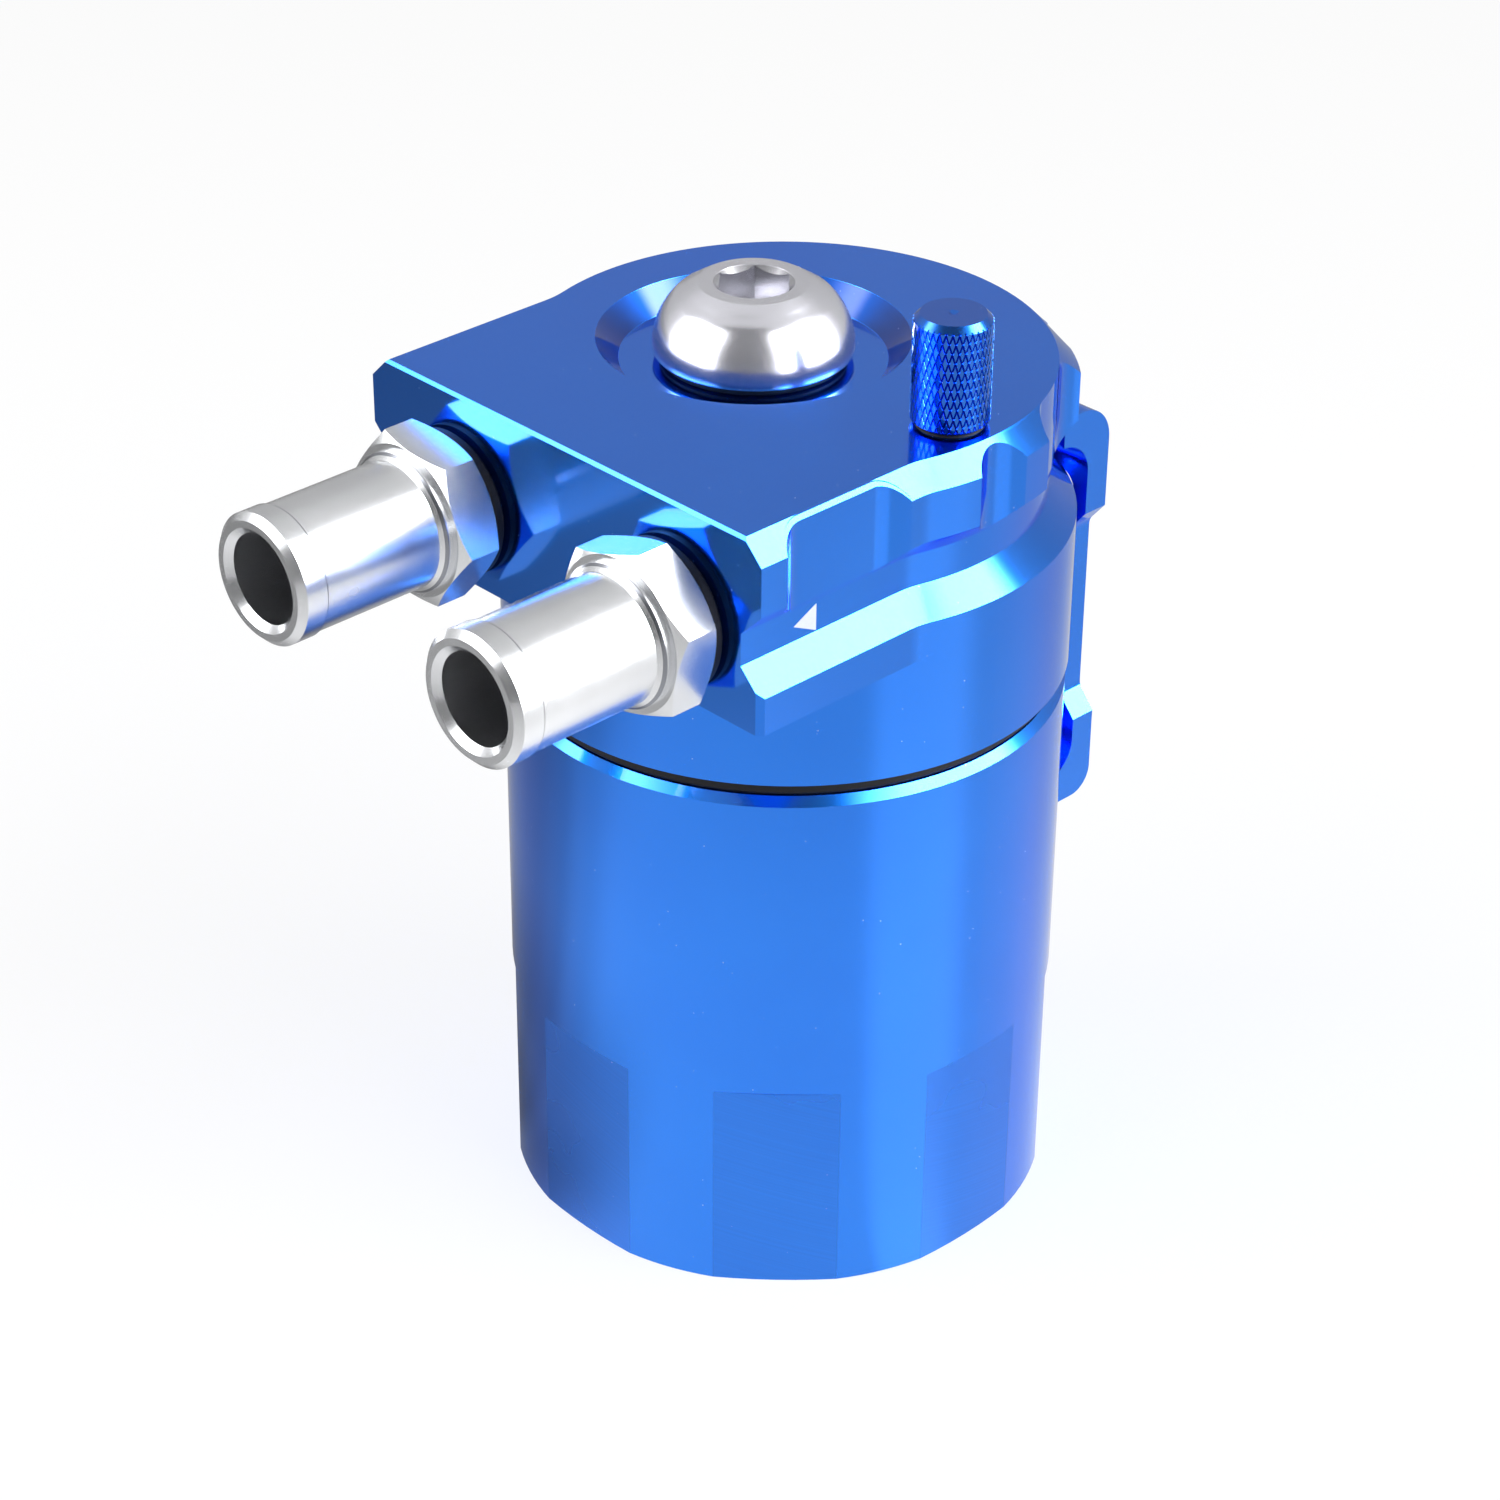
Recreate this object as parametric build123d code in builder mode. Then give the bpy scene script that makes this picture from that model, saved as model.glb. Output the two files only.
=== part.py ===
"""Two-port oil catch can: a screw-on cup under a machined lid with two hose nipples, a plug and a dipstick.

Millimetres. The can stands on Z = 0 with its axis on Z, and the two ports face -Y. The bracket is behind, at +Y.
"""

import math
import os

from build123d import *

# Running clearance on a radius, between a thread or spigot and its bore.
running_clearance = 0.05
# Bevel of a sealing ring's section, as a share of its smaller side.
ring_bevel = 0.3

# Cup.
can_radius = 37.5
can_wall = 3.0
can_floor = 4.0
can_height = 77.0
can_corner_radius = 2.0
can_rim_chamfer = 1.1
wrench_flats = 8
wrench_depth = 0.5
wrench_crown_radius = 79.0
wrench_height = 31.0
wrench_run_out = 0.6

# Lid, from its seat on the cup up to its flat top. Its plan follows the cup's radius.
seal_gap = 2.3
lid_height = 42.2
skirt_overhang = 0.3
rim_overhang = 0.0
block_side_inset = 1.7
block_depth = 26.0
port_face_overhang = 2.0
blend_radius = 10.0
top_chamfer = 3.0
rim_depth = 9.65
groove_depth = 3.4
groove_bottom_depth = 17.5
front_edge_break = 0.4
corner_break = 0.8
spigot_length = 9.3
spigot_wall = 2.6
spigot_thread_depth = 0.8
spigot_thread_start = 1.2
spigot_thread_length = 5.7
lid_roof = 10.0

# Finger scallops, cut into the rim by one round cutter. Angles are from +X, places on the straight side are measured
# back from the port face.
cutter_radius = 5.0
long_scallop_depth = 3.0
short_scallop_depth = 2.4
side_scallop_set_back = (8.6, 20.9)
short_scallop_angles = (0.8, 64.0)
round_scallop_ends = (22.0, 39.7)
rear_scallop_ends = (85.0, 95.0)

# Ports, with their hose nipples.
port_edge = 15.9
port_drop = 15.1
port_thread_radius = 8.0
port_thread_depth = 12.0
nipple_thread = 11.0
nipple_bore = 6.0
nipple_radius = 8.5
nipple_bead = 8.75
nipple_bead_length = 4.0
nipple_reach = 31.6
nipple_end_chamfer = 0.9
nipple_collar_radius = 9.3
nipple_collar_length = 0.8
nipple_hex_across = 20.4
nipple_hex_length = 6.2
nipple_seal_thickness = 2.0
nipple_seal_radius = 9.9
inlet_hex_turn = 53.0
outlet_hex_turn = 16.3

# Vent plug in its dish, beside the middle so that the dipstick has room.
plug_x = -6.6
dish_radius = 20.5
dish_depth = 3.0
plug_thread_radius = 8.0
plug_end_inset = 0.5
plug_head_radius = 13.15
plug_head_height = 9.4
plug_head_flat = 7.1
plug_socket_across = 9.0
plug_socket_depth = 5.5
plug_seal_thickness = 1.1
plug_seal_radius = 12.2

# Dipstick.
dipstick_edge = 9.2
knob_radius = 5.0
knob_height = 14.4
knob_chamfer = 0.85
knob_dimple_radius = 0.7
knob_gap = 0.5
dipstick_thread_radius = 3.0
dipstick_thread_length = 9.5
dipstick_counterbore = 4.4
dipstick_counterbore_depth = 1.2
rod_radius = 1.5
rod_floor_gap = 5.0
rod_socket_depth = 8.0
level_marks = (12.0, 40.0)
level_mark_width = 0.8
level_mark_depth = 0.25

# Inlet pipe and the baffle stack inside the lid.
elbow_y = -12.0
boss_wall = 2.5
pipe_radius = 6.0
pipe_wall = 1.0
pipe_seat_depth = 6.0
pipe_below_seat = 33.4
plate_gap = 0.6
plate_thickness = 1.2
pad_thickness = 8.0
baffle_height_above_seat = 2.7
baffle_hole_clearance = 0.15
rod_notch_radius = 2.6
plate_hole_radius = 1.6
plate_hole_rings = 4
plate_hole_edge = 4.45
plate_holes_per_ring = 5
stay_count = 3
stay_edge = 7.25
stay_first_angle = 30.0
stay_across = 5.5
stay_stud_radius = 1.5
stay_stud_length = 5.0
stay_socket_depth = 8.0
stay_screw_grip = 6.0
stay_screw_head_radius = 2.75
stay_screw_head_height = 1.6

# Bracket: a channel behind the can, waisted between its two ends.
bracket_thickness = 4.0
bracket_half_width = 17.0
bracket_waist_half_width = 14.4
bracket_stand_off = 2.3
bracket_top_drop = 15.5
bracket_height = 60.9
bracket_arm = 4.3
bracket_can_gap = 1.1
bracket_inner_radius = 5.2
bracket_top_radius = 5.6
bracket_foot_radius = 3.6
waist_top_drop = 31.4
waist_bottom_drop = 63.8
waist_slope = 3.1
waist_fillet = 2.0
mount_hole_radius = 3.2
mount_hole_x = 11.5
mount_top_drop = 29.0
mount_hole_span = 35.0
lid_screw_radius = 2.0
lid_screw_hole = 2.25
lid_screw_head = 4.0
lid_screw_depth = 5.6
lid_screw_hole_depth = 6.3
lid_screw_socket = 2.5
lid_screw_edge = 3.6
bracket_pad_half_width = 6.0
bracket_pad_gap = 0.3

# Places that follow from the sizes above.
can_bore = can_radius - can_wall
skirt_radius = can_radius + skirt_overhang
rim_radius = can_radius + rim_overhang
block_half_width = can_radius - block_side_inset
port_face = can_radius + port_face_overhang
port_spacing = 2 * (block_half_width - port_edge)
dipstick_x = can_radius - dipstick_edge
lid_seat = can_height + seal_gap
lid_top = lid_seat + lid_height
block_underside = lid_top - block_depth
groove_bottom = lid_top - groove_bottom_depth
rim_bottom = lid_top - rim_depth
spigot_radius = can_bore - running_clearance
cavity_radius = spigot_radius - spigot_wall
spigot_bottom = lid_seat - spigot_length
ceiling = lid_top - lid_roof
port_height = lid_top - port_drop
dish_floor = lid_top - dish_depth
inlet_x = -port_spacing / 2
outlet_x = port_spacing / 2
boss_radius = port_thread_radius + boss_wall
boss_bottom = port_height - boss_radius - 0.5
bracket_front = skirt_radius + bracket_stand_off
bracket_back = bracket_front + bracket_thickness
bracket_top = lid_top - bracket_top_drop
bracket_foot = bracket_top - bracket_height
seat_low = lid_seat + bracket_pad_gap
seat_high = bracket_top - bracket_arm - bracket_inner_radius - bracket_pad_gap
lid_screw_heights = (seat_low + lid_screw_edge, seat_high - lid_screw_edge)
bottom_plate_floor = lid_seat + baffle_height_above_seat
pad_floor = bottom_plate_floor + plate_thickness
top_plate_floor = pad_floor + pad_thickness
stay_floor = top_plate_floor + plate_thickness
plate_radius = cavity_radius - plate_gap
plate_ring_pitch = (plate_radius - plate_hole_edge) / plate_hole_rings
stay_circle = plate_radius - stay_edge
stay_angles = [stay_first_angle + 360 / stay_count * i for i in range(stay_count)]
stay_places = [
    (stay_circle * math.cos(math.radians(a)), stay_circle * math.sin(math.radians(a))) for a in stay_angles
]

os.makedirs("parts", exist_ok=True)


def keep(builder, name):
    """Labels a finished piece and writes it to its own file."""
    builder.part.label = name
    export_step(builder.part, f"parts/{name}.step")


def outward_plane(x):
    """Plane on the port face at one port, whose Z points out of the lid."""
    return Plane(origin=(x, -port_face, port_height), x_dir=(1, 0, 0), z_dir=(0, -1, 0))


def lid_outline(height, inset, round_radius=rim_radius):
    """Plan of the lid at a height: a disc blended into the port block, drawn in from the sides but not the front."""
    with BuildSketch(Plane.XY.offset(height)) as outline:
        Circle(round_radius - inset)
        with Locations((0, -port_face / 2)):
            Rectangle(2 * (block_half_width - inset), port_face)
        meetings = outline.vertices().filter_by(lambda v: v.Y > 1 - port_face)
        fillet(meetings, blend_radius + inset)
    return outline.sketch


def ring(name, height, thickness, inner, outer, centre=(0, 0)):
    """A squeezed sealing ring: flat where it is pressed, bevelled at its inner and outer edges."""
    middle = (inner + outer) / 2
    with BuildPart() as part:
        with BuildSketch(Plane.XZ.offset(-centre[1])) as section:
            with Locations((centre[0] + middle, height + thickness / 2)):
                Rectangle(outer - inner, thickness)
            chamfer(section.vertices(), ring_bevel * min(thickness, outer - inner))
        revolve(axis=Axis((*centre, 0), (0, 0, 1)))
    keep(part, name)


def wrench_outline(height, growth):
    """Plan of the eight crowned wrench flats, grown outwards where they run out."""
    with BuildSketch(Plane.XY.offset(height)) as outline:
        Circle(2 * can_radius)
        for i in range(wrench_flats):
            with PolarLocations(wrench_crown_radius - can_radius + wrench_depth, 1, 360 / wrench_flats * i):
                Circle(wrench_crown_radius + growth, mode=Mode.INTERSECT)
    return outline.sketch


# Cup, turned from bar, with eight slightly crowned wrench flats milled round its foot.
with BuildPart() as can_body:
    extrude(wrench_outline(0, 0), amount=wrench_height)
    loft(
        [wrench_outline(wrench_height, 0), wrench_outline(wrench_height + wrench_run_out, wrench_run_out)], ruled=True
    )
    with BuildSketch(Plane.XY.offset(wrench_height + wrench_run_out)):
        Circle(can_radius + wrench_run_out)
    extrude(amount=can_height - wrench_height - wrench_run_out)
    with BuildSketch():
        Circle(can_radius)
    extrude(amount=can_height, mode=Mode.INTERSECT)
    chamfer(can_body.faces().sort_by(Axis.Z)[-1].edges(), can_rim_chamfer)
    with BuildSketch(Plane.XY.offset(can_floor)):
        Circle(can_bore)
    extrude(amount=can_height, mode=Mode.SUBTRACT)
    floor_edge = can_body.edges().filter_by(GeomType.CIRCLE).filter_by_position(Axis.Z, can_floor, can_floor)
    fillet(floor_edge, can_corner_radius)
keep(can_body, "can_body")

# Sealing ring squeezed between the cup's rim and the lid's skirt.
ring("can_seal_ring", can_height, seal_gap, can_bore, can_radius - can_rim_chamfer + 0.2)

# Lid, milled from one block: skirt, port block, groove with an overhanging rim, and everything cut into them.
with BuildPart() as lid:
    with BuildSketch(Plane.XY.offset(spigot_bottom)):
        Circle(spigot_radius)
    extrude(amount=spigot_length)
    with BuildSketch(Plane.XY.offset(lid_seat)):
        Circle(skirt_radius)
    extrude(amount=block_underside - lid_seat)
    extrude(lid_outline(block_underside, 0, skirt_radius), amount=groove_bottom - groove_depth - block_underside)
    loft(
        [lid_outline(groove_bottom - groove_depth, 0, skirt_radius), lid_outline(groove_bottom, groove_depth)],
        ruled=True,
    )
    extrude(lid_outline(groove_bottom, groove_depth), amount=rim_bottom - groove_depth - groove_bottom)
    loft([lid_outline(rim_bottom - groove_depth, groove_depth), lid_outline(rim_bottom, 0)], ruled=True)
    extrude(lid_outline(rim_bottom, 0), amount=rim_depth - top_chamfer)
    loft([lid_outline(lid_top - top_chamfer, 0), lid_outline(lid_top, top_chamfer)], ruled=True)

    # The front's top edge is broken, and so are the lower corners of the port block.
    front_edges = lid.edges().filter_by(Axis.X).filter_by_position(Axis.Y, -port_face, -port_face)
    chamfer(front_edges.sort_by(Axis.Z)[-1], front_edge_break)
    corners = lid.edges().filter_by(Axis.Z).filter_by_position(Axis.Y, -port_face, -port_face)
    chamfer(corners.group_by(Axis.Z)[0], corner_break)

    # Flat seat for the bracket, left proud on the back of the skirt.
    with BuildSketch(Plane.XZ.offset(-bracket_front)):
        with Locations((0, (seat_low + seat_high) / 2)):
            Rectangle(2 * bracket_pad_half_width, seat_high - seat_low)
    extrude(amount=bracket_front - cavity_radius - 0.5)

    # Scallops, mirrored left and right, run from the groove up through the rim.
    with BuildSketch(Plane.XY.offset(groove_bottom + 1)) as scallops:
        side_x = block_half_width - long_scallop_depth + cutter_radius
        near, far = side_scallop_set_back
        with Locations((side_x, (near + far) / 2 - port_face)):
            SlotCenterToCenter(far - near, 2 * cutter_radius, rotation=90)
        for start, end in (round_scallop_ends, rear_scallop_ends):
            path = CenterArc((0, 0), rim_radius - long_scallop_depth + cutter_radius, start, end - start)
            SlotArc(path, 2 * cutter_radius)
        for angle in short_scallop_angles:
            with PolarLocations(rim_radius - short_scallop_depth + cutter_radius, 1, angle):
                Circle(cutter_radius)
        mirror(about=Plane.YZ)
    extrude(amount=lid_height, mode=Mode.SUBTRACT)

    # Relief round the spigot, in which its thread is cut.
    with BuildSketch(Plane.XY.offset(spigot_bottom + spigot_thread_start)):
        Circle(spigot_radius)
        Circle(spigot_radius - spigot_thread_depth, mode=Mode.SUBTRACT)
    extrude(amount=spigot_thread_length, mode=Mode.SUBTRACT)

    # Hollow underneath, with a solid boss left round the inlet so that it can turn downwards.
    with BuildSketch(Plane.XY.offset(spigot_bottom)):
        Circle(cavity_radius)
    extrude(amount=ceiling - spigot_bottom, mode=Mode.SUBTRACT)
    with BuildSketch(Plane.XY.offset(boss_bottom)):
        with Locations((inlet_x, elbow_y)):
            Circle(boss_radius)
        with Locations((inlet_x, elbow_y - cavity_radius / 2)):
            Rectangle(2 * boss_radius, cavity_radius)
        Circle(cavity_radius + 0.5, mode=Mode.INTERSECT)
    extrude(amount=ceiling - boss_bottom)

    # Dish and threaded hole for the vent plug.
    with BuildSketch(Plane.XY.offset(lid_top)):
        with Locations((plug_x, 0)):
            Circle(dish_radius)
    extrude(amount=-dish_depth, taper=45, mode=Mode.SUBTRACT)
    with BuildSketch(Plane.XY.offset(dish_floor)):
        with Locations((plug_x, 0)):
            Circle(plug_thread_radius)
    extrude(amount=ceiling - dish_floor, mode=Mode.SUBTRACT)

    # Threaded hole for the dipstick, with a counterbore for its ring.
    with Locations((dipstick_x, 0, lid_top)):
        CounterBoreHole(dipstick_thread_radius, dipstick_counterbore, dipstick_counterbore_depth, lid_roof)

    # Ports: a threaded mouth, then a plain bore to the elbow on the inlet and to the hollow on the outlet.
    for x, bore_end in ((inlet_x, elbow_y), (outlet_x, -cavity_radius / 2)):
        with BuildSketch(outward_plane(x)):
            Circle(port_thread_radius)
        extrude(amount=-port_thread_depth, mode=Mode.SUBTRACT)
        with BuildSketch(outward_plane(x)):
            Circle(nipple_bore)
        extrude(amount=-(port_face + bore_end), mode=Mode.SUBTRACT)
    with BuildSketch(Plane.XY.offset(boss_bottom)):
        with Locations((inlet_x, elbow_y)):
            Circle(pipe_radius)
    extrude(amount=port_height - boss_bottom, mode=Mode.SUBTRACT)

    # Blind holes for the baffle stays and for the bracket screws.
    with BuildSketch(Plane.XY.offset(ceiling)):
        with Locations(*stay_places):
            Circle(stay_stud_radius)
    extrude(amount=stay_stud_length, mode=Mode.SUBTRACT)
    with BuildSketch(Plane.XZ.offset(-bracket_front)):
        with Locations(*[(0, height) for height in lid_screw_heights]):
            Circle(lid_screw_radius)
    extrude(amount=lid_screw_hole_depth, mode=Mode.SUBTRACT)
keep(lid, "lid")


def nipple(name, x, hex_turn):
    """Turned hose nipple: thread, wrench hexagon, collar and a smooth spigot with a low bead at its end."""
    centre = (x, -port_face, port_height)
    hex_start = nipple_seal_thickness
    hex_end = hex_start + nipple_hex_length
    flat = nipple_hex_across / 2
    corner = flat / math.cos(math.radians(30))
    corner_slope = (corner - flat) * math.tan(math.radians(30))
    profile_plane = Plane(origin=centre, x_dir=(0, -1, 0), z_dir=(-1, 0, 0))
    turning_axis = Axis(centre, (0, -1, 0))
    with BuildPart() as part:
        with BuildSketch(outward_plane(x).offset(hex_start)):
            RegularPolygon(flat, 6, major_radius=False, rotation=hex_turn)
        extrude(amount=nipple_hex_length)
        with BuildSketch(profile_plane):
            Polygon(
                (hex_start, 0),
                (hex_start, flat),
                (hex_start + corner_slope, corner),
                (hex_end - corner_slope, corner),
                (hex_end, flat),
                (hex_end, 0),
                align=None,
            )
        revolve(axis=turning_axis, mode=Mode.INTERSECT)
        with BuildSketch(profile_plane):
            Polygon(
                (-nipple_thread, 0),
                (-nipple_thread, port_thread_radius),
                (hex_end, port_thread_radius),
                (hex_end, nipple_collar_radius),
                (hex_end + nipple_collar_length, nipple_collar_radius),
                (hex_end + nipple_collar_length + nipple_collar_radius - nipple_radius, nipple_radius),
                (nipple_reach - nipple_bead_length, nipple_radius),
                (nipple_reach - nipple_bead_length, nipple_bead),
                (nipple_reach - nipple_end_chamfer, nipple_bead),
                (nipple_reach, nipple_bead - nipple_end_chamfer),
                (nipple_reach, 0),
                align=None,
            )
        revolve(axis=turning_axis)
        with BuildSketch(outward_plane(x).offset(nipple_reach)):
            Circle(nipple_bore)
        extrude(amount=-(nipple_reach + nipple_thread), mode=Mode.SUBTRACT)
        mouth = part.edges().filter_by(GeomType.CIRCLE).group_by(Axis.Y)[0].sort_by(SortBy.RADIUS)[0]
        chamfer(mouth, nipple_end_chamfer)
    keep(part, name)


def nipple_seal(name, x):
    """Ring squeezed between a nipple's hexagon and the port face."""
    with BuildPart() as part:
        profile_plane = Plane(origin=(x, -port_face, port_height), x_dir=(0, -1, 0), z_dir=(-1, 0, 0))
        width = nipple_seal_radius - port_thread_radius
        with BuildSketch(profile_plane) as section:
            with Locations((nipple_seal_thickness / 2, port_thread_radius + width / 2)):
                Rectangle(nipple_seal_thickness, width)
            chamfer(section.vertices(), ring_bevel * min(width, nipple_seal_thickness))
        revolve(axis=Axis((x, -port_face, port_height), (0, -1, 0)))
    keep(part, name)


nipple("inlet_nipple", inlet_x, inlet_hex_turn)
nipple("outlet_nipple", outlet_x, outlet_hex_turn)
nipple_seal("inlet_seal_ring", inlet_x)
nipple_seal("outlet_seal_ring", outlet_x)

# Vent plug: a domed head with a hexagon socket, on a short thread.
plug_head_base = dish_floor + plug_seal_thickness
plug_head_top = plug_head_base + plug_head_height
plug_end = ceiling + plug_end_inset
plug_shank = plug_thread_radius - running_clearance
dome_inset = plug_head_radius - plug_head_flat
dome_radius = (dome_inset**2 + plug_head_height**2) / (2 * dome_inset)
dome_rise = math.asin(plug_head_height / dome_radius)
dome_middle = (
    plug_x + plug_head_radius - dome_radius + dome_radius * math.cos(dome_rise / 2),
    plug_head_base + dome_radius * math.sin(dome_rise / 2),
)
with BuildPart() as centre_plug:
    with BuildSketch(Plane.XZ):
        with BuildLine():
            dome = ThreePointArc(
                (plug_x + plug_head_radius, plug_head_base), dome_middle, (plug_x + plug_head_flat, plug_head_top)
            )
            Polyline(
                dome @ 1,
                (plug_x, plug_head_top),
                (plug_x, plug_end),
                (plug_x + plug_shank - 1, plug_end),
                (plug_x + plug_shank, plug_end + 1),
                (plug_x + plug_shank, plug_head_base),
                dome @ 0,
            )
        make_face()
    revolve(axis=Axis((plug_x, 0, 0), (0, 0, 1)))
    with BuildSketch(Plane.XY.offset(plug_head_top)):
        with Locations((plug_x, 0)):
            RegularPolygon(plug_socket_across / 2, 6, major_radius=False, rotation=15)
    extrude(amount=-plug_socket_depth, mode=Mode.SUBTRACT)
    lower_rim = centre_plug.edges().filter_by(GeomType.CIRCLE)
    lower_rim = lower_rim.filter_by_position(Axis.Z, plug_head_base, plug_head_base).sort_by(SortBy.RADIUS)[-1]
    fillet(lower_rim, 0.5)
keep(centre_plug, "centre_plug")
ring("plug_seal_ring", dish_floor, plug_seal_thickness, plug_thread_radius + 0.1, plug_seal_radius, (plug_x, 0))

# Dipstick: a knurled finger knob with a threaded neck, and the rod pressed into it.
knob_base = lid_top + knob_gap
neck_floor = lid_top - dipstick_counterbore_depth
with BuildPart() as dipstick_knob:
    with BuildSketch(Plane.XY.offset(knob_base)):
        with Locations((dipstick_x, 0)):
            Circle(knob_radius)
    extrude(amount=knob_height)
    chamfer(dipstick_knob.faces().sort_by(Axis.Z)[-1].edges(), knob_chamfer)
    with Locations((dipstick_x, 0, knob_base + knob_height)):
        CounterSinkHole(knob_dimple_radius / 4, knob_dimple_radius, knob_dimple_radius / 2)
    with BuildSketch(Plane.XY.offset(neck_floor)):
        with Locations((dipstick_x, 0)):
            Circle(dipstick_thread_radius - running_clearance)
    extrude(amount=knob_base - neck_floor)
    with BuildSketch(Plane.XY.offset(neck_floor)):
        with Locations((dipstick_x, 0)):
            Circle(dipstick_thread_radius - running_clearance)
    extrude(amount=-dipstick_thread_length)
    with BuildSketch(Plane.XY.offset(neck_floor - dipstick_thread_length)):
        with Locations((dipstick_x, 0)):
            Circle(rod_radius)
    extrude(amount=rod_socket_depth, mode=Mode.SUBTRACT)
keep(dipstick_knob, "dipstick_knob")

rod_top = neck_floor - dipstick_thread_length + rod_socket_depth
rod_bottom = can_floor + rod_floor_gap
with BuildPart() as dipstick_rod:
    with BuildSketch(Plane.XY.offset(rod_bottom)):
        with Locations((dipstick_x, 0)):
            Circle(rod_radius)
    extrude(amount=rod_top - rod_bottom)
    for mark in level_marks:
        with BuildSketch(Plane.XY.offset(can_floor + mark)):
            with Locations((dipstick_x, 0)):
                Circle(rod_radius + 1)
                Circle(rod_radius - level_mark_depth, mode=Mode.SUBTRACT)
        extrude(amount=level_mark_width, mode=Mode.SUBTRACT)
    fillet(dipstick_rod.edges().sort_by(Axis.Z)[0], rod_radius / 2)
keep(dipstick_rod, "dipstick_rod")
ring(
    "dipstick_seal_ring",
    neck_floor,
    dipstick_counterbore_depth + knob_gap,
    dipstick_thread_radius + 0.02,
    dipstick_counterbore - 0.02,
    (dipstick_x, 0),
)

# Inlet pipe, pressed into the boss, which takes the oily gas down past the baffle.
with BuildPart() as inlet_pipe:
    with BuildSketch(Plane.XY.offset(boss_bottom - pipe_below_seat)):
        with Locations((inlet_x, elbow_y)):
            Circle(pipe_radius)
            Circle(pipe_radius - pipe_wall, mode=Mode.SUBTRACT)
    extrude(amount=pipe_below_seat + pipe_seat_depth)
keep(inlet_pipe, "inlet_pipe")


def stack_outline(height, screw_hole):
    """Plan of a baffle layer: a disc with holes for the pipe and the screws, and a notch for the dipstick."""
    with BuildSketch(Plane.XY.offset(height)) as outline:
        Circle(plate_radius)
        with Locations((inlet_x, elbow_y)):
            Circle(pipe_radius + baffle_hole_clearance, mode=Mode.SUBTRACT)
        with Locations(*stay_places):
            Circle(screw_hole, mode=Mode.SUBTRACT)
        with Locations((dipstick_x, 0)):
            Circle(rod_notch_radius, mode=Mode.SUBTRACT)
        with Locations((dipstick_x + rod_notch_radius, 0)):
            Rectangle(2 * rod_notch_radius, 2 * rod_notch_radius, mode=Mode.SUBTRACT)
    return outline.sketch


def drain_places():
    """Places of a plate's drain holes: rings of holes, without those that would meet the pipe, a screw or the notch."""
    taken = [(inlet_x, elbow_y, pipe_radius), (dipstick_x, 0, rod_notch_radius)]
    taken += [(x, y, stay_across / 2) for x, y in stay_places]
    places = []
    for ring_number in range(1, plate_hole_rings + 1):
        radius, count = ring_number * plate_ring_pitch, ring_number * plate_holes_per_ring
        for i in range(count):
            angle = 2 * math.pi * (i + 0.5) / count
            x, y = radius * math.cos(angle), radius * math.sin(angle)
            if all(math.hypot(x - cx, y - cy) > size + plate_hole_radius + 1 for cx, cy, size in taken):
                places.append((x, y))
    return places


screw_hole = stay_stud_radius + baffle_hole_clearance
for name, height in (("baffle_plate", bottom_plate_floor), ("pad_retainer", top_plate_floor)):
    with BuildPart() as plate:
        extrude(stack_outline(height, screw_hole), amount=plate_thickness)
        with BuildSketch(Plane.XY.offset(height)):
            with Locations(*drain_places()):
                Circle(plate_hole_radius)
        extrude(amount=plate_thickness, mode=Mode.SUBTRACT)
    keep(plate, name)

with BuildPart() as mesh_pad:
    extrude(stack_outline(pad_floor, screw_hole), amount=pad_thickness)
keep(mesh_pad, "mesh_pad")

# Stays hang from the lid's ceiling, and screws clamp the baffle stack up against them.
with BuildPart() as baffle_stays:
    with BuildSketch(Plane.XY.offset(stay_floor)):
        with Locations(*stay_places):
            RegularPolygon(stay_across / 2, 6, major_radius=False)
    extrude(amount=ceiling - stay_floor)
    with BuildSketch(Plane.XY.offset(ceiling)):
        with Locations(*stay_places):
            Circle(stay_stud_radius)
    extrude(amount=stay_stud_length)
    with BuildSketch(Plane.XY.offset(stay_floor)):
        with Locations(*stay_places):
            Circle(stay_stud_radius)
    extrude(amount=stay_socket_depth, mode=Mode.SUBTRACT)
keep(baffle_stays, "baffle_stays")

with BuildPart() as baffle_screws:
    with BuildSketch(Plane.XY.offset(bottom_plate_floor - stay_screw_head_height)):
        with Locations(*stay_places):
            Circle(stay_screw_head_radius)
    extrude(amount=stay_screw_head_height)
    chamfer(baffle_screws.faces().group_by(Axis.Z)[0].edges(), stay_screw_head_height / 3)
    with BuildSketch(Plane.XY.offset(bottom_plate_floor)):
        with Locations(*stay_places):
            Circle(stay_stud_radius)
    extrude(amount=stay_floor + stay_screw_grip - bottom_plate_floor)
    with BuildSketch(Plane.XY.offset(bottom_plate_floor - stay_screw_head_height)):
        with Locations(*stay_places):
            RegularPolygon(1, 6, major_radius=False)
    extrude(amount=stay_screw_head_height * 0.7, mode=Mode.SUBTRACT)
keep(baffle_screws, "baffle_screws")

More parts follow.
